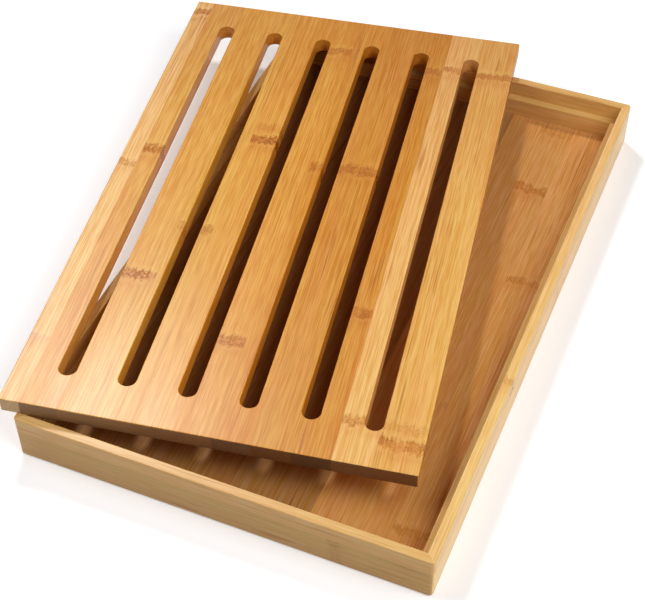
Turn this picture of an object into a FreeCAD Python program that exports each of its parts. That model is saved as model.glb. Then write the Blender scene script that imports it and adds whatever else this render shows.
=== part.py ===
"""Bread board with crumb catcher: a slotted bamboo board lying askew on its open bamboo tray.

Frame: millimetres, +X to the right, +Y to the back, +Z up. The origin is the middle of the
underside of the tray, on the surface that it stands on.
"""
import FreeCAD, Part
import math
import os
import re
import Sketcher

# Driving sizes in millimetres and degrees, one spreadsheet cell each.
SIZES = {
    # Tray: a mitred frame of glued strips round a floor of glued staves.
    "tray_width": 248.8,
    "tray_length": 400.0,
    "tray_height": 31.0,
    "wall_thickness": 5.7,
    "lower_strip_height": 20.8,
    "corner_radius": 2.5,
    "rim_rounding": 0.6,
    "foot_rounding": 1.5,
    "floor_thickness": 7.0,
    "rabbet_depth": 2.5,
    "floor_stave_count": 12,
    "floor_first_stave": 11.6,
    "floor_last_stave": 8.1,
    "ledge_thickness": 4.9,
    "ledge_height": 13.0,
    "ledge_rounding": 0.4,
    # Board: glued staves with through slots, loose in the tray by its clearance.
    "board_clearance": 0.4,
    "board_thickness": 10.0,
    "board_corner_radius": 1.0,
    "board_edge_rounding": 0.5,
    "board_stave_count": 11,
    "board_first_stave": 11.9,
    "board_last_stave": 25.4,
    "slot_count": 6,
    "slot_width": 10.6,
    "slot_left_margin": 30.2,
    "slot_right_margin": 29.8,
    "slot_near_margin": 24.7,
    "slot_far_margin": 25.6,
    # How the board lies on the rim of the tray.
    "board_turn": 9.45,
    "board_shift_x": -48.8,
    "board_shift_y": 13.8,
}

# Each wall faces away from the middle of the tray, turned this far from the front one.
WALL_TURNS = {"front": 0, "right": 90, "back": 180, "left": 270}

GEOMETRY_TOLERANCE = 1e-4


def make_sheet(doc):
    """Put each driving size in a cell of its own, and the sizes that follow from them below."""
    sheet = doc.addObject("Spreadsheet::Sheet", "sizes")
    derived = {
        "inner_width": "=tray_width - 2 * wall_thickness",
        "inner_length": "=tray_length - 2 * wall_thickness",
        "floor_width": "=inner_width + 2 * rabbet_depth",
        "floor_length": "=inner_length + 2 * rabbet_depth",
        "board_width": "=inner_width - 2 * board_clearance",
        "board_length": "=inner_length - 2 * board_clearance",
        "floor_stave": "=(floor_width - floor_first_stave - floor_last_stave) / (floor_stave_count - 2)",
        "board_stave": "=(board_width - board_first_stave - board_last_stave) / (board_stave_count - 2)",
        "slot_radius": "=slot_width / 2",
        "slot_span": "=board_width - slot_left_margin - slot_right_margin",
        "slot_to_left": "=board_width / 2 - slot_left_margin",
        "slot_to_near": "=board_length / 2 - slot_near_margin - slot_radius",
        "slot_to_far": "=board_length / 2 - slot_far_margin - slot_radius",
    }
    row = 1
    for alias, value in SIZES.items():
        sheet.set(f"A{row}", alias)
        sheet.set(f"B{row}", str(value))
        sheet.setAlias(f"B{row}", alias)
        row += 1
    for alias, formula in derived.items():
        sheet.set(f"A{row}", alias)
        sheet.set(f"B{row}", formula)
        sheet.setAlias(f"B{row}", alias)
        row += 1
    doc.recompute()
    return sheet


def from_sheet(formula):
    """Address each alias in a formula by the name of the sheet."""
    return re.sub(r"[a-z]\w*", r"sizes.\g<0>", formula)


def bind(item, formulas):
    """Tie properties of an object to formulas of the sheet's values."""
    for path, formula in formulas.items():
        item.setExpression(path, from_sheet(formula))


def new_sketch(body, name):
    """A sketch on the ground plane of a body."""
    plane = next(item for item in body.Origin.OriginFeatures if item.Role == "XY_Plane")
    sketch = body.newObject("Sketcher::SketchObject", name)
    sketch.AttachmentSupport = [(plane, "")]
    sketch.MapMode = "FlatFace"
    return sketch


def drive(sketch, constraint, name, formula):
    """Add a named dimension to a sketch and tie it to the sheet."""
    index = sketch.addConstraint(constraint)
    sketch.renameConstraint(index, name)
    bind(sketch, {f"Constraints.{name}": formula})


def draw_rectangle(sketch, sheet, width, length):
    """A rectangle centred on the origin, with its sides tied to two of the sheet's values."""
    across, along = getattr(sheet, width), getattr(sheet, length)
    corners = [(-1, -1), (1, -1), (1, 1), (-1, 1)]
    points = [FreeCAD.Vector(x * across / 2, y * along / 2, 0) for x, y in corners]
    for index in range(4):
        sketch.addGeometry(Part.LineSegment(points[index], points[(index + 1) % 4]), False)
    for index in range(4):
        sketch.addConstraint(Sketcher.Constraint("Coincident", index, 2, (index + 1) % 4, 1))
    for index in (0, 2):
        sketch.addConstraint(Sketcher.Constraint("Horizontal", index))
    for index in (1, 3):
        sketch.addConstraint(Sketcher.Constraint("Vertical", index))
    sketch.addConstraint(Sketcher.Constraint("Symmetric", 0, 1, 1, 2, -1, 1))
    drive(sketch, Sketcher.Constraint("DistanceX", 0, 1, 0, 2, across), "width", width)
    drive(sketch, Sketcher.Constraint("DistanceY", 1, 1, 1, 2, along), "length", length)


def pad(body, sketch, name, height):
    """Raise a sketch to a height."""
    feature = body.newObject("PartDesign::Pad", name)
    feature.Profile = sketch
    bind(feature, {"Length": height})
    return feature


def pocket(doc, body, sketch, name, depth):
    """Cut a sketch upwards from the ground plane, and see that it takes material away."""
    before = body.Shape.Volume
    feature = body.newObject("PartDesign::Pocket", name)
    feature.Profile = sketch
    feature.Reversed = True
    bind(feature, {"Length": depth})
    doc.recompute()
    if body.Shape.Volume >= before:
        raise ValueError(f"{name} cuts nothing")
    return feature


def round_edges(doc, body, name, radius, wanted):
    """Round the edges of a body's tip that a test picks out."""
    base = body.Tip
    names = [f"Edge{i}" for i, edge in enumerate(base.Shape.Edges, 1) if wanted(edge)]
    feature = body.newObject("PartDesign::Fillet", name)
    feature.Base = (base, names)
    bind(feature, {"Radius": radius})
    doc.recompute()
    return feature


def is_vertical(edge):
    """Whether an edge stands upright."""
    box = edge.BoundBox
    return box.ZLength > GEOMETRY_TOLERANCE and box.XLength + box.YLength < GEOMETRY_TOLERANCE


def lies_at(edge, height):
    """Whether all of an edge lies at one height."""
    box = edge.BoundBox
    return abs(box.ZMin - height) + abs(box.ZMax - height) < GEOMETRY_TOLERANCE


def runs_outside_floor(edge, sheet):
    """Whether an edge of the frame runs on its outer faces, beyond the rabbet for the floor."""
    box = edge.BoundBox
    beside = max(abs(box.XMin), abs(box.XMax)) - sheet.floor_width / 2
    beyond = max(abs(box.YMin), abs(box.YMax)) - sheet.floor_length / 2
    return max(beside, beyond) > GEOMETRY_TOLERANCE


def make_frame_blank(doc, sheet):
    """The ring of all four walls, rabbeted underneath for the floor, before it is cut apart."""
    body = doc.addObject("PartDesign::Body", "frame_blank")
    outline = new_sketch(body, "frame_outline")
    draw_rectangle(outline, sheet, "tray_width", "tray_length")
    pad(body, outline, "frame_pad", "tray_height")
    doc.recompute()
    round_edges(doc, body, "frame_corners", "corner_radius", is_vertical)
    inside = new_sketch(body, "frame_inside")
    draw_rectangle(inside, sheet, "inner_width", "inner_length")
    pocket(doc, body, inside, "frame_opening", "tray_height")
    rabbet = new_sketch(body, "frame_rabbet")
    draw_rectangle(rabbet, sheet, "floor_width", "floor_length")
    pocket(doc, body, rabbet, "floor_rabbet", "floor_thickness")
    round_edges(doc, body, "rim_edges", "rim_rounding", lambda edge: lies_at(edge, sheet.tray_height))
    round_edges(
        doc,
        body,
        "foot_edges",
        "foot_rounding",
        lambda edge: lies_at(edge, 0) and runs_outside_floor(edge, sheet),
    )
    return body


def turned(degrees):
    """A turn about the upright axis through the origin."""
    return FreeCAD.Placement(
        FreeCAD.Vector(), FreeCAD.Rotation(FreeCAD.Vector(0, 0, 1), degrees)
    )


def make_wall_strip(doc, blank, side, part, bottom, top):
    """One strip of one wall: the frame between two heights, with mitred ends."""
    across, along = ("tray_length", "tray_width")
    if side in ("left", "right"):
        across, along = along, across
    wedge = doc.addObject("Part::Wedge", f"{side}_{part}_mitres")
    outward = "{} / 2 + wall_thickness"
    inward = "{} / 2 - 2 * wall_thickness"
    bind(
        wedge,
        {
            "Ymin": f"-1 * ({outward.format(across)})",
            "Ymax": f"-1 * ({inward.format(across)})",
            "Xmin": f"-1 * ({outward.format(along)})",
            "Xmax": outward.format(along),
            "X2min": f"-1 * ({inward.format(along)})",
            "X2max": inward.format(along),
            "Zmin": bottom,
            "Z2min": bottom,
            "Zmax": top,
            "Z2max": top,
        },
    )
    wedge.Placement = turned(WALL_TURNS[side])
    strip = doc.addObject("Part::Common", f"{side}_wall_{part}")
    strip.Base = blank
    strip.Tool = wedge
    return strip


def make_walls(doc, sheet):
    """Four walls, each of a lower and an upper strip glued edge to edge."""
    blank = make_frame_blank(doc, sheet)
    walls = []
    for side in WALL_TURNS:
        walls.append(
            make_wall_strip(doc, blank, side, "lower", "-1 * wall_thickness", "lower_strip_height")
        )
        walls.append(
            make_wall_strip(
                doc, blank, side, "upper", "lower_strip_height", "tray_height + wall_thickness"
            )
        )
    return walls


def lay_stave(stave, panel, index, count):
    """Size a block as one stave of a centred panel, whose sizes share a first word.

    The outer two staves have widths of their own, and the others share the rest equally.
    """
    start, width = f"{panel}_first_stave + {index - 1} * {panel}_stave", f"{panel}_stave"
    if index == 0:
        start, width = "0", f"{panel}_first_stave"
    if index == count - 1:
        start, width = f"{panel}_width - {panel}_last_stave", f"{panel}_last_stave"
    bind(
        stave,
        {
            "Length": width,
            "Width": f"{panel}_length",
            "Height": f"{panel}_thickness",
            "Placement.Base.x": f"-1 * {panel}_width / 2 + {start}",
            "Placement.Base.y": f"-1 * {panel}_length / 2",
        },
    )


def make_floor(doc, sheet):
    """The floor: staves side by side in the rabbet, flush with the undersides of the walls."""
    count = int(sheet.floor_stave_count)
    staves = []
    for index in range(count):
        stave = doc.addObject("Part::Box", f"floor_stave_{index + 1:02d}")
        lay_stave(stave, "floor", index, count)
        staves.append(stave)
    return staves


def make_ledge(doc, sheet, side):
    """One ledge strip, standing on the floor against its wall, its inner top edge rounded.

    The front and back ledges run from wall to wall, and the side ledges between them. Each is
    shaped at the front wall and then turned to its own.
    """
    run, across = "inner_width", "inner_length"
    if side in ("left", "right"):
        run, across = "inner_length - 2 * ledge_thickness", "inner_width"
    block = doc.addObject("Part::Box", f"{side}_ledge_block")
    bind(
        block,
        {
            "Length": run,
            "Width": "ledge_thickness",
            "Height": "ledge_height",
            "Placement.Base.x": f"-1 * ({run}) / 2",
            "Placement.Base.y": f"-1 * {across} / 2",
            "Placement.Base.z": "floor_thickness",
        },
    )
    doc.recompute()
    top = block.Shape.BoundBox.ZMax
    inside = block.Shape.BoundBox.YMax
    radius = sheet.ledge_rounding
    ledge = doc.addObject("Part::Fillet", f"{side}_ledge")
    ledge.Base = block
    ledge.Edges = [
        (index, radius, radius)
        for index, edge in enumerate(block.Shape.Edges, 1)
        if lies_at(edge, top) and edge.BoundBox.YMin > inside - GEOMETRY_TOLERANCE
    ]
    ledge.Placement = turned(WALL_TURNS[side])
    return ledge


def draw_slot(sketch, sheet):
    """The outline of the leftmost slot: two straight sides joined by half circles."""
    lower = FreeCAD.Vector(-sheet.slot_to_left, -sheet.slot_to_near, 0)
    upper = FreeCAD.Vector(-sheet.slot_to_left, sheet.slot_to_far, 0)
    up = FreeCAD.Vector(0, 0, 1)
    radius = sheet.slot_radius
    reach = FreeCAD.Vector(radius, 0, 0)
    sketch.addGeometry(Part.ArcOfCircle(Part.Circle(lower, up, radius), math.pi, 2 * math.pi))
    sketch.addGeometry(Part.LineSegment(lower + reach, upper + reach))
    sketch.addGeometry(Part.ArcOfCircle(Part.Circle(upper, up, radius), 0, math.pi))
    sketch.addGeometry(Part.LineSegment(upper - reach, lower - reach))
    for index in range(4):
        sketch.addConstraint(Sketcher.Constraint("Tangent", index, 2, (index + 1) % 4, 1))
    sketch.addConstraint(Sketcher.Constraint("Vertical", 1))
    sketch.addConstraint(Sketcher.Constraint("Equal", 0, 2))
    drive(sketch, Sketcher.Constraint("Radius", 0, radius), "radius", "slot_radius")
    to_left = Sketcher.Constraint("DistanceX", 0, 3, -1, 1, sheet.slot_to_left)
    drive(sketch, to_left, "to_left", "slot_to_left")
    to_near = Sketcher.Constraint("DistanceY", 0, 3, -1, 1, sheet.slot_to_near)
    drive(sketch, to_near, "to_near", "slot_to_near")
    to_far = Sketcher.Constraint("DistanceY", -1, 1, 2, 3, sheet.slot_to_far)
    drive(sketch, to_far, "to_far", "slot_to_far")


def make_board_blank(doc, sheet):
    """The whole board with its slots and rounded edges, before it is cut into staves."""
    body = doc.addObject("PartDesign::Body", "board_blank")
    outline = new_sketch(body, "board_outline")
    draw_rectangle(outline, sheet, "board_width", "board_length")
    pad(body, outline, "board_pad", "board_thickness")
    doc.recompute()
    round_edges(doc, body, "board_corners", "board_corner_radius", is_vertical)
    slot = new_sketch(body, "slot_outline")
    draw_slot(slot, sheet)
    doc.recompute()
    first_slot = pocket(doc, body, slot, "first_slot", "board_thickness")
    row = body.newObject("PartDesign::LinearPattern", "slot_row")
    row.Originals = [first_slot]
    row.Direction = (slot, ["H_Axis"])
    bind(row, {"Length": "slot_span", "Occurrences": "slot_count"})
    body.Tip = row
    doc.recompute()
    round_edges(
        doc,
        body,
        "board_edges",
        "board_edge_rounding",
        lambda edge: lies_at(edge, 0) or lies_at(edge, sheet.board_thickness),
    )
    return body


def lay_on_rim(item):
    """Place a piece of the board where the board lies, askew on the rim of the tray."""
    item.Placement = turned(item.Document.getObject("sizes").board_turn)
    bind(
        item,
        {
            "Placement.Rotation.Angle": "board_turn",
            "Placement.Base.x": "board_shift_x",
            "Placement.Base.y": "board_shift_y",
            "Placement.Base.z": "tray_height",
        },
    )


def make_board(doc, sheet):
    """The board as its staves, glued side by side, with the slots cut through them."""
    blank = make_board_blank(doc, sheet)
    count = int(sheet.board_stave_count)
    staves = []
    for index in range(count):
        strip = doc.addObject("Part::Box", f"board_strip_{index + 1:02d}")
        lay_stave(strip, "board", index, count)
        stave = doc.addObject("Part::Common", f"board_stave_{index + 1:02d}")
        stave.Base = blank
        stave.Tool = strip
        lay_on_rim(stave)
        staves.append(stave)
    return staves


def check(doc, pieces):
    """Stop at any failed object, and at any piece that isn't one sound solid."""
    for item in doc.Objects:
        if "Invalid" in item.State or "Error" in item.State:
            raise ValueError(f"{item.Label} failed: {item.State}")
    for piece in pieces:
        shape = piece.Shape
        if shape.isNull() or not shape.isValid() or len(shape.Solids) != 1:
            raise ValueError(f"{piece.Label} isn't one valid solid")


def main():
    """Build the document and write one file for each piece."""
    doc = FreeCAD.newDocument("bread_board")
    sheet = make_sheet(doc)
    pieces = make_walls(doc, sheet)
    pieces += make_floor(doc, sheet)
    pieces += [make_ledge(doc, sheet, side) for side in WALL_TURNS]
    pieces += make_board(doc, sheet)
    doc.recompute()
    check(doc, pieces)
    os.makedirs("parts", exist_ok=True)
    for piece in pieces:
        piece.Shape.exportStep(f"parts/{piece.Label}.step")
    print(f"{len(pieces)} pieces written")


main()
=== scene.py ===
"""Bread board with crumb catcher: the bamboo finishes, the studio, its lights and the camera.

Every piece is a glued stave or strip of bamboo. Each has its own material, built from the shared
node groups below and placed by the piece's own lie: across it, along its grain and into it.
"""
import math

import bpy
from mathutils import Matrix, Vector


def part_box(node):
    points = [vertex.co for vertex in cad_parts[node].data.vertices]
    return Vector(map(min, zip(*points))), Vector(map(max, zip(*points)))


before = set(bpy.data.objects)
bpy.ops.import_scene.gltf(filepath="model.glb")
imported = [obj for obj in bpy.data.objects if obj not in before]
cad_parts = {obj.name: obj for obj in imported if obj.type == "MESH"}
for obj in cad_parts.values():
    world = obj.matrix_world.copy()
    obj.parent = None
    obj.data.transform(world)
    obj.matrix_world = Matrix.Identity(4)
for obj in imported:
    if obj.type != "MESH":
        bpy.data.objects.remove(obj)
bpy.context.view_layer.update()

MM = 0.001

# How the board lies on the tray, as the model has it.
BOARD_TURN = math.radians(9.45)
BOARD_MIDDLE = Vector((-0.0488, 0.0138, 0.036))
BOARD_WIDTH = 0.2366
BOARD_LENGTH = 0.3878
BOARD_FIRST_STAVE = 0.0119
BOARD_LAST_STAVE = 0.0254
FLOOR_STAVES = 12


# Colours

WHITE = (1.0, 1.0, 1.0, 1.0)


def shade(red, green, blue):
    """A colour given as it is seen, from 0 to 255, in the linear form that nodes use."""
    def straight(value):
        part = value / 255
        return part / 12.92 if part <= 0.04045 else ((part + 0.055) / 1.055) ** 2.4

    return (straight(red), straight(green), straight(blue), 1.0)


def tinted(colour, red, green, blue):
    """A colour made lighter or darker by a factor for each of its three parts."""
    return (colour[0] * red, colour[1] * green, colour[2] * blue, 1.0)


# The middle colour of each tone of bamboo. Its grain runs between a lighter and a darker colour.
TONES = {
    "pale": shade(234, 184, 107),
    "cream": shade(221, 160, 68),
    "golden": shade(220, 160, 56),
    "amber": shade(219, 155, 50),
    "ochre": shade(218, 152, 50),
    "warm": shade(212, 142, 37),
    "russet": shade(206, 138, 38),
    "honey": shade(230, 178, 98),
    "straw": shade(224, 168, 83),
    "floor": shade(213, 155, 86),
    "floor_amber": shade(205, 149, 81),
    # Painted shade: a darker floor tone, for the staves under the board, where its shadow falls.
    "floor_painted_shade": shade(166, 119, 65),
    "wall": shade(234, 191, 118),
    # Painted light: a paler copy of the wall tone, for the brightly lit lower right wall and its sheen.
    "wall_painted_light": shade(244, 206, 134),
    "wall_front": shade(223, 181, 111),
    "wall_tan": shade(209, 166, 98),
    "wall_dark": shade(219, 175, 102),
    # Painted shade: a darker copy of the wall tone, for the left walls, which lie in the board's shadow.
    "wall_painted_shade": shade(204, 162, 93),
    "ledge": shade(218, 177, 106),
}
# What a tone is multiplied by in its blushed streaks, in the painted shade at the board's far
# end, in the stain of a knuckle and on the walls of the slots.
BLUSH_TINT = shade(255, 246, 255)
FAR_SHADE_TINT = shade(240, 233, 230)
STAIN_TINT = shade(240, 215, 186)
SLOT_WALL_TINT = shade(252, 246, 255)
# The same as factors for red, green and blue: for lines and marks, and for the grain of cut ends.
LINE_FACTORS = (0.52, 0.29, 0.10)
END_LIGHT_FACTORS = (1.12, 1.16, 1.20)
END_DARK_FACTORS = (0.88, 0.84, 0.80)
# How far light and dark grain stray from a tone: a share of its red, green and blue, and a set
# step of blue, because a share of the little blue in bamboo would hardly show.
STRAY_SHARES = (0.11, 0.26, 0.45)
STRAY_BLUE = 0.015


def strayed(colour, way):
    """A tone's lighter grain, for a way above 0, or its darker grain, for one below."""
    red, green, blue, _ = tinted(colour, *(1 + share * way for share in STRAY_SHARES))
    return (red, green, max(blue + STRAY_BLUE * way, 0.0), 1.0)


# Node helpers

# A Mix node has sockets of one name for each kind of value, so those for colours go by number.
MIX_AMOUNT, MIX_FIRST, MIX_SECOND, MIX_RESULT = 0, 6, 7, 2


def fill(tree, node, links):
    """Fill a node's inputs with values or with other nodes' outputs."""
    for socket, value in links.items():
        if isinstance(value, bpy.types.NodeSocket):
            tree.links.new(value, node.inputs[socket])
        else:
            node.inputs[socket].default_value = value
    return node


def add(tree, kind, links=None, **settings):
    """Add a node, set it up and fill its inputs."""
    made = tree.nodes.new(kind)
    for name, value in settings.items():
        setattr(made, name, value)
    return fill(tree, made, links or {})


def place(tree, group, links):
    """Put a shared group in a tree and fill its inputs."""
    return add(tree, "ShaderNodeGroup", links, node_tree=group)


def new_group(name, inputs, outputs):
    """An empty shared node group, its inputs, and the node whose inputs are its outputs.

    Both kinds of sockets are given as name: kind. A number that isn't filled is 0.
    """
    group = bpy.data.node_groups.new(name, "ShaderNodeTree")
    for way, sockets in (("INPUT", inputs), ("OUTPUT", outputs)):
        for label, kind in sockets.items():
            group.interface.new_socket(label, in_out=way, socket_type=f"NodeSocket{kind}")
    entry = group.nodes.new("NodeGroupInput")
    leave = group.nodes.new("NodeGroupOutput")
    return group, entry.outputs, leave


def new_material(name):
    """A new material, and its empty tree of nodes."""
    material = bpy.data.materials.new(name)
    material.use_nodes = True
    material.node_tree.nodes.clear()
    return material, material.node_tree


def reckon(tree, operation, *values, clamp=False):
    """One step of arithmetic on numbers or sockets."""
    made = add(tree, "ShaderNodeMath", dict(enumerate(values)), operation=operation, use_clamp=clamp)
    return made.outputs[0]


def times(tree, first, *others):
    """The product of two or more numbers or sockets."""
    for other in others:
        first = reckon(tree, "MULTIPLY", first, other)
    return first


def plus(tree, first, *others):
    """The sum of two or more numbers or sockets."""
    for other in others:
        first = reckon(tree, "ADD", first, other)
    return first


def minus(tree, first, second):
    """The first less the second."""
    return reckon(tree, "SUBTRACT", first, second)


def unsigned(tree, value):
    """A number without its sign."""
    return reckon(tree, "ABSOLUTE", value)


def larger(tree, first, second):
    """The larger of two numbers or sockets."""
    return reckon(tree, "MAXIMUM", first, second)


def part_of(tree, vector, axis):
    """One part of a vector, X, Y or Z. Of a position they are across, along and into the piece."""
    return add(tree, "ShaderNodeSeparateXYZ", {0: vector}).outputs[axis]


def moved_by(tree, position, x=0.0, y=0.0, z=0.0):
    """A position shifted by numbers or sockets."""
    shift = add(tree, "ShaderNodeCombineXYZ", {"X": x, "Y": y, "Z": z}).outputs[0]
    return add(tree, "ShaderNodeVectorMath", {0: position, 1: shift}, operation="ADD").outputs[0]


def cloud(tree, position, across, along, depth=None, detail=1.0, roughness=0.5, distortion=0.0):
    """Soft noise from 0 to 1, about 0.5, with so many cells per metre each way.

    It is as fine in depth as across, unless a depth is given.
    """
    cells = (across, along, across if depth is None else depth)
    scaled = add(tree, "ShaderNodeVectorMath", {0: position, 1: cells}, operation="MULTIPLY")
    links = {
        "Vector": scaled.outputs[0],
        "Scale": 1.0,
        "Detail": detail,
        "Roughness": roughness,
        "Distortion": distortion,
    }
    return add(tree, "ShaderNodeTexNoise", links).outputs[0]


def wander(tree, position, across, along, detail=1.0):
    """Soft noise about 0, from -0.5 to 0.5."""
    return minus(tree, cloud(tree, position, across, along, detail=detail), 0.5)


def between(tree, value, low, high, start=0.0, end=1.0):
    """Bring a value from one range to another with soft ends."""
    made = add(
        tree,
        "ShaderNodeMapRange",
        {"Value": value, "From Min": low, "From Max": high, "To Min": start, "To Max": end},
        interpolation_type="SMOOTHSTEP",
    )
    return made.outputs["Result"]


def spread(tree, noise, reach=0.2):
    """Spread noise over 0 to 1, so that it gets there at the reach to either side of its middle."""
    return between(tree, noise, 0.5 - reach, 0.5 + reach)


def near_to(tree, value, target, reach):
    """1 close about a target, falling to 0 at the reach to either side."""
    return between(tree, unsigned(tree, minus(tree, value, target)), reach, reach * 0.25)


def blend_colours(tree, amount, first, second, blend="MIX"):
    """Mix two colours by an amount."""
    sockets = {MIX_AMOUNT: amount, MIX_FIRST: first, MIX_SECOND: second}
    made = add(tree, "ShaderNodeMix", sockets, data_type="RGBA", blend_type=blend, clamp_factor=True)
    return made.outputs[MIX_RESULT]


def toned(tree, amount, colour, tint):
    """Multiply a colour by a tint, as far as an amount from 0 to 1 says."""
    return blend_colours(tree, amount, colour, tint, blend="MULTIPLY")


# Shared effects of bamboo

# How far a seed moves the grain across, along and into the piece, in metres.
SEED_SHIFT = (0.313, 0.971, 0.177)
# How far the fibres stray from side to side, in a long sway and in a short ripple.
SWAY = 2.4 * MM
RIPPLE = 0.3 * MM


def make_grain():
    """Lengthwise grain as a solid texture, so it shows as lines along and as dots on the ends."""
    group, given, leave = new_group(
        "bamboo_grain",
        {"Position": "Vector", "Seed": "Float"},
        {"Depth": "Float", "Rosy": "Float", "Fibres": "Float", "Hairs": "Float"},
    )
    shifts = (times(group, given["Seed"], shift) for shift in SEED_SHIFT)
    moved = moved_by(group, given["Position"], *shifts)
    sway = times(group, wander(group, moved, 30, 9), SWAY)
    ripple = times(group, wander(group, moved, 90, 34), RIPPLE)
    swayed = moved_by(group, moved, plus(group, sway, ripple))
    drift = spread(group, cloud(group, moved, 42, 6.5, 60, detail=2))
    mottle = spread(group, cloud(group, swayed, 95, 26, detail=2))
    streaks = spread(group, cloud(group, swayed, 280, 7))
    fibres = spread(group, cloud(group, swayed, 1100, 9, detail=2, roughness=0.7))
    flecks = spread(group, cloud(group, swayed, 1450, 60))
    # Each layer's share of how dark the grain is. Together they are set about a middle of 0.5.
    layers = ((drift, 0.12), (mottle, 0.05), (streaks, 0.04), (fibres, 0.84), (flecks, 0.66))
    depth = plus(group, *(times(group, layer, share) for layer, share in layers))
    middle = sum(share for _, share in layers) / 2
    # Here and there, in thickets, a few dark fibres show as hair-thin lines some centimetres long.
    hair = between(group, cloud(group, swayed, 1150, 20), 0.58, 0.70)
    thicket = between(group, cloud(group, swayed, 120, 9), 0.46, 0.66)
    rosy = cloud(group, moved_by(group, swayed, z=0.7), 75, 4.5, detail=2)
    results = {
        "Depth": plus(group, depth, 0.5 - middle),
        "Rosy": spread(group, rosy, 0.15),
        "Fibres": fibres,
        "Hairs": times(group, hair, thicket),
    }
    fill(group, leave, results)
    return group


# How far a seed moves a knuckle's marks into the piece. Across it they move by the seed itself.
KNUCKLE_SEED_SHIFT = 0.61
# How far a knuckle's rows stray up and down, in a wide wave and in a narrow zigzag.
WAVE = 6.0 * MM
ZIGZAG = 8.0 * MM
# The middle and the reach of the two rows of ticks, in half heights of the mark.
UPPER_ROW = (0.45, 0.34)
LOWER_ROW = (-0.4, 0.30)
CURL_STRENGTH = 0.9


def make_knuckle():
    """The mark that a knuckle of the cane leaves on a stave: zigzag rows, curls and a stain."""
    group, given, leave = new_group(
        "bamboo_knuckle",
        {
            "Position": "Vector",
            "Seed": "Float",
            "Place": "Float",
            "Half Height": "Float",
            "Strength": "Float",
        },
        {"Ticks": "Float", "Blotch": "Float", "Pale": "Float", "Stain": "Float"},
    )
    seed, at = given["Seed"], given["Place"]
    moved = moved_by(group, given["Position"], seed, at, times(group, seed, KNUCKLE_SEED_SHIFT))
    away = plus(
        group,
        minus(group, part_of(group, given["Position"], "Y"), at),
        times(group, wander(group, moved, 150, 30, detail=2), WAVE),
        times(group, wander(group, moved, 430, 110), ZIGZAG),
    )
    # From here on, heights are in half heights of the mark, up from its middle.
    height = reckon(group, "DIVIDE", away, given["Half Height"])
    off = unsigned(group, height)
    uneven = between(group, cloud(group, moved, 130, 60), 0.28, 0.58, start=0.3)
    strong = times(group, given["Strength"], uneven)
    # Two thin rows of dark ticks, with curls between and about them.
    dashes = between(group, cloud(group, moved, 860, 280), 0.44, 0.56)
    rows = plus(group, near_to(group, height, *UPPER_ROW), near_to(group, height, *LOWER_ROW))
    contours = near_to(group, cloud(group, moved, 380, 300, distortion=1.1), 0.5, 0.08)
    curls = times(group, contours, between(group, off, 1.35, 0.7), CURL_STRENGTH)
    spots = cloud(group, moved, 330, 150, detail=2, roughness=0.6, distortion=0.6)
    # The stain spreads on the near side of the mark and dies away.
    near_side = times(group, between(group, height, 1.0, 0.0), between(group, height, -3.8, -0.4))
    results = {
        "Ticks": times(group, larger(group, times(group, rows, dashes), curls), strong),
        "Blotch": times(group, between(group, off, 1.2, 0.3), strong, between(group, spots, 0.40, 0.62)),
        "Pale": times(group, between(group, off, 0.6, 1.1), between(group, off, 2.0, 1.2), strong),
        "Stain": times(group, near_side, given["Strength"]),
    }
    fill(group, leave, results)
    return group


# The glue line ends this far in from a stave's side, and is darkest this near to it.
GLUE_LINE_EDGE = 0.34 * MM
GLUE_LINE_CORE = 0.06 * MM


def make_glue_line():
    """A hair-thin darker line where a stave meets its neighbour, fainter here and there."""
    group, given, leave = new_group(
        "glue_line",
        {"Position": "Vector", "Half Width": "Float"},
        {"Line": "Float"},
    )
    across = part_of(group, given["Position"], "X")
    inside = minus(group, given["Half Width"], unsigned(group, across))
    broken = between(group, cloud(group, given["Position"], 20, 60), 0.35, 0.65, start=0.15)
    line = between(group, inside, GLUE_LINE_EDGE, GLUE_LINE_CORE)
    fill(group, leave, {"Line": times(group, line, broken)})
    return group


# How far a dark fibre bends from side to side, and half its width.
FIBRE_BEND = 1.2 * MM
FIBRE_HALF_WIDTH = 0.32 * MM


def make_dark_fibre():
    """One long dark fibre: a hair-thin line that fades at both ends."""
    group, given, leave = new_group(
        "dark_fibre",
        {"Position": "Vector", "Across": "Float", "Place": "Float", "Half Length": "Float"},
        {"Line": "Float"},
    )
    bend = times(group, wander(group, given["Position"], 20, 25), FIBRE_BEND)
    across = plus(group, part_of(group, given["Position"], "X"), bend)
    thin = near_to(group, across, given["Across"], FIBRE_HALF_WIDTH)
    along = unsigned(group, minus(group, part_of(group, given["Position"], "Y"), given["Place"]))
    share = reckon(group, "DIVIDE", along, given["Half Length"])
    broken = between(group, cloud(group, given["Position"], 60, 160), 0.30, 0.55, start=0.4)
    fill(group, leave, {"Line": times(group, thin, between(group, share, 1.0, 0.6), broken)})
    return group


# How strongly hairs, the pale edge of a knuckle and then each kind of line cover the grain.
HAIR_COVER = 0.6
PALE_COVER = 0.45
LINE_COVERS = {"Blotch": 0.24, "Ticks": 0.92, "Glue": 0.30, "Fibre": 0.55}
# Where painted shade starts to darken and brown the board, and where it is deepest, along it from its
# middle.
FAR_SHADE_START = 20 * MM
FAR_SHADE_FULL = 200 * MM
# How deep the colour of an outer end goes, fully and at most.
END_SKIN = 2 * MM
END_SKIN_EDGE = 4 * MM
# How dense a blotch is, where a tick is 1, and then what blushed wood and cut ends add to the
# roughness and what dense wood takes from it.
BLOTCH_DENSITY = 0.7
ROSY_ROUGHNESS = 0.03
END_ROUGHNESS = 0.14
DENSE_SMOOTHNESS = 0.17
# How deep fibres, hairs and ticks lie, as shares of the relief.
FIBRE_DEPTH = 0.35
HAIR_DEPTH = 0.4
TICK_DEPTH = 0.6


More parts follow.
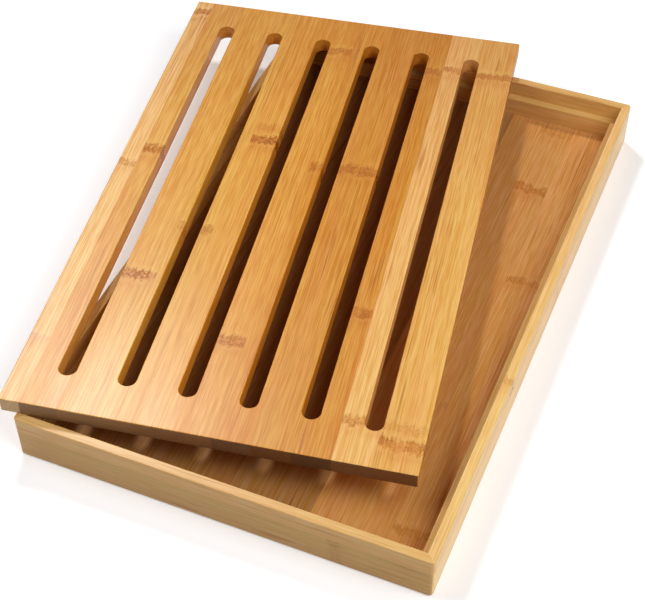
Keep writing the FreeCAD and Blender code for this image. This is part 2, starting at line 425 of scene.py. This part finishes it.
def make_finish(grain):
    """The colour, roughness and relief of bamboo from its grain and marks."""
    group, given, leave = new_group(
        "bamboo_finish",
        {
            "Position": "Vector",
            "Normal": "Vector",
            "Grain Way": "Vector",
            "Half Length": "Float",
            "Seed": "Float",
            "Light": "Color",
            "Dark": "Color",
            "Line": "Color",
            "Gloss Roughness": "Float",
            "Far Shade": "Float",
            "Routed": "Float",
            "Own Ends": "Float",
            "End Light": "Color",
            "End Dark": "Color",
            "Ticks": "Float",
            "Blotch": "Float",
            "Pale": "Float",
            "Stain": "Float",
            "Glue": "Float",
            "Fibre": "Float",
        },
        {"Color": "Color", "Roughness": "Float", "Height": "Float"},
    )
    grown = place(group, grain, {"Position": given["Position"], "Seed": given["Seed"]}).outputs
    depth, rosy, hairs = grown["Depth"], grown["Rosy"], grown["Hairs"]
    colour = blend_colours(group, depth, given["Light"], given["Dark"])
    colour = toned(group, rosy, colour, BLUSH_TINT)
    # Painted shade: the board is made darker and browner towards its far end, where the light falls off.
    along = part_of(group, given["Position"], "Y")
    far_shading = times(group, between(group, along, FAR_SHADE_START, FAR_SHADE_FULL), given["Far Shade"])
    colour = toned(group, far_shading, colour, FAR_SHADE_TINT)
    colour = blend_colours(group, times(group, hairs, HAIR_COVER), colour, given["Line"])
    colour = toned(group, given["Stain"], colour, STAIN_TINT)
    colour = blend_colours(group, times(group, given["Pale"], PALE_COVER), colour, given["Light"])
    for name, cover in LINE_COVERS.items():
        colour = blend_colours(group, times(group, given[name], cover), colour, given["Line"])
    # The routed walls of the slots and the outer ends have colours of their own.
    facing = add(
        group,
        "ShaderNodeVectorMath",
        {0: given["Normal"], 1: given["Grain Way"]},
        operation="DOT_PRODUCT",
    ).outputs["Value"]
    end = between(group, unsigned(group, facing), 0.45, 0.95)
    upright = between(group, unsigned(group, part_of(group, given["Normal"], "Z")), 0.8, 0.3)
    colour = toned(group, times(group, upright, given["Routed"]), colour, SLOT_WALL_TINT)
    from_end = minus(group, given["Half Length"], unsigned(group, along))
    skin = between(group, from_end, END_SKIN_EDGE, END_SKIN)
    end_colour = blend_colours(group, depth, given["End Light"], given["End Dark"])
    colour = blend_colours(group, times(group, end, skin, given["Own Ends"]), colour, end_colour)
    # The dense wood of a knuckle takes a smoother finish, and so shows a narrower shine.
    dense = larger(group, given["Ticks"], times(group, given["Blotch"], BLOTCH_DENSITY))
    roughness = plus(
        group,
        given["Gloss Roughness"],
        times(group, rosy, ROSY_ROUGHNESS),
        times(group, dense, -DENSE_SMOOTHNESS),
        times(group, end, END_ROUGHNESS),
    )
    relief = plus(
        group,
        times(group, grown["Fibres"], -FIBRE_DEPTH),
        times(group, hairs, -HAIR_DEPTH),
        times(group, given["Ticks"], -TICK_DEPTH),
    )
    fill(group, leave, {"Color": colour, "Roughness": roughness, "Height": relief})
    return group


GRAIN = make_grain()
KNUCKLE = make_knuckle()
GLUE_LINE = make_glue_line()
DARK_FIBRE = make_dark_fibre()
FINISH = make_finish(GRAIN)


# Finishes of the pieces

# The roughness and the strength of each part's gloss.
BOARD_GLOSS = (0.28, 0.25)
FLOOR_GLOSS = (0.46, 0.06)
FRAME_GLOSS = (0.30, 0.18)
LEFT_GLOSS = (0.45, 0.08)
LACQUER_IOR = 1.5
# How far the grain of each part strays from its middle colour, and how much less it does so in the
# two pale staves on the right of the board.
BOARD_CONTRAST = 1.0
FLOOR_CONTRAST = 0.75
FRAME_CONTRAST = 0.5
CALMER_TONES = {"honey": 0.8, "straw": 0.8}
# The relief of the grain: how strongly and how deep it shows.
RELIEF_STRENGTH = 0.08
RELIEF_DEPTH = 0.2 * MM
# Half the width of a piece that shows no glue line, as if its sides were far away.
GLUE_FREE = 1.0
# A part's pieces have seeds that start from the first of these and rise by the second.
BOARD_SEEDS = (3.0, 1.7)
FLOOR_SEEDS = (40.0, 2.3)
FRAME_SEEDS = (90.0, 3.1)
KNUCKLE_SEED_SHARE = 0.37


def seed_of(seeds, number):
    """The seed of one of a part's pieces, counted from 1."""
    start, step = seeds
    return start + step * number


def make_bamboo(
    piece, tone, middle, turn, half_width, knuckles, seed, gloss, contrast,
    far_shade=0.0, routed=0.0, end_grain_and_light=None, fibre=None,
):
    """Give one piece its own bamboo material.

    The middle and turn say how the piece lies: its grain runs along +Y before it is turned.
    Knuckles are (place along the grain, half height, strength), with sizes in millimetres.
    One amount says how far painted shade darkens and browns it towards its far end, and routed how
    far its slot walls differ from its faces. The colour given for its outer ends is their browner
    end grain, with painted light on an end that is lit.
    A fibre is one long dark line: (place across, place along, half length), in millimetres.
    """
    material, tree = new_material(f"{piece}_bamboo")
    coordinates = add(tree, "ShaderNodeTexCoord").outputs
    position = add(
        tree,
        "ShaderNodeMapping",
        {"Vector": coordinates["Object"], "Location": middle, "Rotation": (0.0, 0.0, turn)},
        vector_type="TEXTURE",
    ).outputs[0]
    glue = place(tree, GLUE_LINE, {"Position": position, "Half Width": half_width})
    links = {
        "Position": position,
        "Normal": coordinates["Normal"],
        "Grain Way": (-math.sin(turn), math.cos(turn), 0.0),
        "Half Length": BOARD_LENGTH / 2,
        "Seed": seed,
        "Light": strayed(TONES[tone], contrast),
        "Dark": strayed(TONES[tone], -contrast),
        "Line": tinted(TONES[tone], *LINE_FACTORS),
        "Gloss Roughness": gloss[0],
        "Far Shade": far_shade,
        "Routed": routed,
        "Glue": glue.outputs["Line"],
    }
    if end_grain_and_light:
        links["Own Ends"] = 1.0
        links["End Light"] = tinted(end_grain_and_light, *END_LIGHT_FACTORS)
        links["End Dark"] = tinted(end_grain_and_light, *END_DARK_FACTORS)
    if fibre:
        across, at, reach = fibre
        line = place(
            tree,
            DARK_FIBRE,
            {"Position": position, "Across": across * MM, "Place": at * MM, "Half Length": reach * MM},
        )
        links["Fibre"] = line.outputs["Line"]
    for number, (at, reach, strength) in enumerate(knuckles):
        mark = place(
            tree,
            KNUCKLE,
            {
                "Position": position,
                "Seed": seed * KNUCKLE_SEED_SHARE + number,
                "Place": at * MM,
                "Half Height": reach * MM,
                "Strength": strength,
            },
        )
        for effect in ("Ticks", "Blotch", "Pale", "Stain"):
            links[effect] = larger(tree, links.get(effect, 0.0), mark.outputs[effect])
    finish = place(tree, FINISH, links).outputs
    bump = add(
        tree,
        "ShaderNodeBump",
        {"Height": finish["Height"], "Strength": RELIEF_STRENGTH, "Distance": RELIEF_DEPTH},
    )
    shader = add(
        tree,
        "ShaderNodeBsdfPrincipled",
        {
            "Base Color": finish["Color"],
            "Roughness": finish["Roughness"],
            "Normal": bump.outputs[0],
            "IOR": LACQUER_IOR,
            "Specular IOR Level": gloss[1],
        },
    )
    add(tree, "ShaderNodeOutputMaterial", {"Surface": shader.outputs[0]})
    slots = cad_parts[piece].data.materials
    slots.clear()
    slots.append(material)


def finish_board():
    """The board's staves, which are laid out from left to right."""
    # Each stave's tone, the colour of its outer ends and its knuckle marks. The outer ends are
    # browner than the faces, as end grain is, but for the pale stave on the left, whose end is painted
    # lighter: painted light, where that end is lit from the left.
    staves = [
        ("pale", shade(205, 167, 118), [(181.5, 4.5, 1.0), (11, 3.5, 0.6), (-145, 3.5, 0.45)]),
        ("cream", shade(144, 108, 73), [(28, 5.0, 0.9)]),
        ("golden", shade(155, 115, 78), [(-84, 4.5, 0.9)]),
        ("golden", shade(157, 117, 80), [(-38.5, 4.5, 0.5)]),
        ("amber", shade(152, 111, 75), [(53, 4.5, 1.1), (65.5, 4.5, 0.3)]),
        ("ochre", shade(150, 106, 71), [(157, 4.5, 0.7), (-123, 4.5, 0.7)]),
        ("warm", shade(129, 92, 63), [(34, 5.0, 0.6)]),
        ("russet", shade(126, 83, 49), [(37, 5.5, 0.65)]),
        ("russet", shade(108, 74, 48), [(149, 4.5, 0.6), (-85, 4.5, 0.7)]),
        ("honey", shade(132, 90, 57), [(153, 4.0, 0.8), (-164.5, 3.8, 0.7)]),
        ("straw", shade(133, 87, 52), [(152, 4.0, 0.8), (-164.5, 4.0, 0.25), (-175.5, 4.5, 0.8)]),
    ]
    fibres = {3: (4.2, -114, 25)}
    middle_width = (BOARD_WIDTH - BOARD_FIRST_STAVE - BOARD_LAST_STAVE) / (len(staves) - 2)
    outer_widths = {1: BOARD_FIRST_STAVE, len(staves): BOARD_LAST_STAVE}
    across_way = Vector((math.cos(BOARD_TURN), math.sin(BOARD_TURN), 0.0))
    left_side = -BOARD_WIDTH / 2
    for number, (tone, end_grain_and_light, knuckles) in enumerate(staves, 1):
        half_width = outer_widths.get(number, middle_width) / 2
        make_bamboo(
            f"board_stave_{number:02d}",
            tone,
            BOARD_MIDDLE + across_way * (left_side + half_width),
            BOARD_TURN,
            half_width,
            knuckles,
            seed=seed_of(BOARD_SEEDS, number),
            gloss=BOARD_GLOSS,
            contrast=BOARD_CONTRAST * CALMER_TONES.get(tone, 1.0),
            far_shade=1.0,
            routed=1.0,
            end_grain_and_light=end_grain_and_light,
            fibre=fibres.get(number),
        )
        left_side += 2 * half_width


def finish_floor():
    """The tray's floor, whose staves lie straight."""
    # The staves under the board take the darker floor tone, as painted shade.
    tones = {9: "floor_amber", 10: "floor_amber", 11: "floor", 12: "floor"}
    knuckles = {
        10: [(118, 5.0, 0.6), (181, 5.0, 0.35), (-81, 2.5, 0.3)],
        11: [(33, 3.0, 0.5), (-170, 4.0, 0.45)],
    }
    for number in range(1, FLOOR_STAVES + 1):
        piece = f"floor_stave_{number:02d}"
        low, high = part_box(piece)
        make_bamboo(
            piece,
            tones.get(number, "floor_painted_shade"),
            (low + high) / 2,
            0.0,
            (high.x - low.x) / 2,
            knuckles.get(number, []),
            seed=seed_of(FLOOR_SEEDS, number),
            gloss=FLOOR_GLOSS,
            contrast=FLOOR_CONTRAST,
        )


def finish_frame():
    """The walls and the ledges, whose grain runs along them."""
    quarter = math.pi / 2
    turns = {"front": quarter, "back": quarter, "left": 0.0, "right": 0.0}
    tones = {
        "front_wall_lower": "wall_tan",
        "front_wall_upper": "wall_front",
        "back_wall_lower": "wall_dark",
        "back_wall_upper": "wall_dark",
        # Painted shade: the left walls take a darker copy of the wall tone.
        "left_wall_lower": "wall_painted_shade",
        "left_wall_upper": "wall_painted_shade",
        # Painted light: the lower right wall takes a paler copy of the wall tone.
        "right_wall_lower": "wall_painted_light",
        "right_wall_upper": "wall",
    }
    knuckles = {
        "front_wall_lower": [(-69, 4.0, 0.2)],
        "right_wall_upper": [(-69, 4.0, 0.4)],
        "right_wall_lower": [(27, 4.0, 0.3)],
    }
    sides = [(side, part) for side in turns for part in ("wall_lower", "wall_upper", "ledge")]
    for number, (side, part) in enumerate(sides, 1):
        piece = f"{side}_{part}"
        low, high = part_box(piece)
        make_bamboo(
            piece,
            tones.get(piece, "ledge"),
            (low + high) / 2,
            turns[side],
            GLUE_FREE,
            knuckles.get(piece, []),
            seed=seed_of(FRAME_SEEDS, number),
            gloss=LEFT_GLOSS if side == "left" else FRAME_GLOSS,
            contrast=FRAME_CONTRAST,
        )


# Studio, with its sizes in metres

# How strongly the white air lights the object.
AIR_LIGHT = 0.01
PAPER_COLOUR = (0.88, 0.88, 0.90, 1.0)
PAPER_HALF_WIDTH = 6.0
# The paper's glow near the object and far out, and how far out it starts and ends to change.
NEAR_GLOW = 0.27
FAR_GLOW = 1.0
GLOW_START = 0.7
GLOW_END = 2.4
LAMP_AIM = Vector((0.0, 0.0, 0.03))
# Each soft box: where it hangs, its width, and its power in watts.
SOFT_BOXES = {
    "key": ((0.78, -0.28, 0.9), 0.8, 9.5),
    "high": ((0.55, 0.15, 1.25), 0.6, 1.0),
    "left": ((-0.8, -0.35, 0.7), 0.5, 4.2),
    "sheen": ((-1.07, 1.1, 2.08), 0.3, 27.0),
}
# The camera that was fitted to the photograph, with its lens and sensor in millimetres.
SENSOR_WIDTH = 36.0
FOCAL_LENGTH = 79.955
CAMERA_PLACE = (0.231210, -0.593097, 0.651723)
CAMERA_TURN = (0.759979, 0.006362, 0.396417)
CAMERA_NEAR = 0.05
CAMERA_FAR = 40.0


def seen_rays(tree):
    """1 for what is seen, straight, in gloss or through glass, and 0 for light on things."""
    rays = add(tree, "ShaderNodeLightPath").outputs
    straight = plus(tree, rays["Is Camera Ray"], rays["Is Glossy Ray"])
    return reckon(tree, "ADD", straight, rays["Is Transmission Ray"], clamp=True)


def make_floor_sheet():
    """A wide pale floor that shows white and keeps the object's shadow."""
    half = PAPER_HALF_WIDTH
    corners = [(-half, -half, 0), (half, -half, 0), (half, half, 0), (-half, half, 0)]
    mesh = bpy.data.meshes.new("studio_floor")
    mesh.from_pydata(corners, [], [(0, 1, 2, 3)])
    sheet = bpy.data.objects.new("studio_floor", mesh)
    bpy.context.scene.collection.objects.link(sheet)
    material, tree = new_material("studio_paper")
    paper = add(tree, "ShaderNodeBsdfDiffuse", {"Color": PAPER_COLOUR})
    # The lamps reach only the middle of the paper, so it glows more the farther out it is.
    spot = add(tree, "ShaderNodeTexCoord").outputs["Object"]
    distance = add(tree, "ShaderNodeVectorMath", {0: spot}, operation="LENGTH").outputs["Value"]
    strength = between(tree, distance, GLOW_START, GLOW_END, NEAR_GLOW, FAR_GLOW)
    glow = add(
        tree,
        "ShaderNodeEmission",
        {"Color": WHITE, "Strength": times(tree, seen_rays(tree), strength)},
    )
    both = add(tree, "ShaderNodeAddShader", {0: paper.outputs[0], 1: glow.outputs[0]})
    add(tree, "ShaderNodeOutputMaterial", {"Surface": both.outputs[0]})
    mesh.materials.append(material)


def make_world():
    """White surroundings: plain white to the eye and in gloss, dimmer as light on the object."""
    world = bpy.data.worlds.new("studio_air")
    bpy.context.scene.world = world
    world.use_nodes = True
    tree = world.node_tree
    tree.nodes.clear()
    strength = plus(tree, times(tree, seen_rays(tree), 1.0 - AIR_LIGHT), AIR_LIGHT)
    air = add(tree, "ShaderNodeBackground", {"Color": WHITE, "Strength": strength})
    add(tree, "ShaderNodeOutputWorld", {"Surface": air.outputs[0]})


def hang_lamp(name, spot, size, power):
    """A square soft box that faces the object."""
    lamp = bpy.data.lights.new(f"{name}_soft_box", "AREA")
    lamp.shape = "SQUARE"
    lamp.size = size
    lamp.energy = power
    holder = bpy.data.objects.new(f"{name}_soft_box", lamp)
    bpy.context.scene.collection.objects.link(holder)
    holder.location = spot
    holder.rotation_euler = (Vector(spot) - LAMP_AIM).to_track_quat("Z", "Y").to_euler()


def set_camera():
    """The camera at the angle that the object was taken from."""
    lens = bpy.data.cameras.new("camera")
    lens.sensor_width = SENSOR_WIDTH
    lens.sensor_fit = "HORIZONTAL"
    lens.lens = FOCAL_LENGTH
    lens.clip_start = CAMERA_NEAR
    lens.clip_end = CAMERA_FAR
    camera = bpy.data.objects.new("camera", lens)
    bpy.context.scene.collection.objects.link(camera)
    camera.location = CAMERA_PLACE
    camera.rotation_euler = CAMERA_TURN
    bpy.context.scene.camera = camera


set_camera()
finish_board()
finish_floor()
finish_frame()
make_floor_sheet()
make_world()
for name, soft_box in SOFT_BOXES.items():
    hang_lamp(name, *soft_box)
bpy.context.scene.view_settings.view_transform = "Standard"
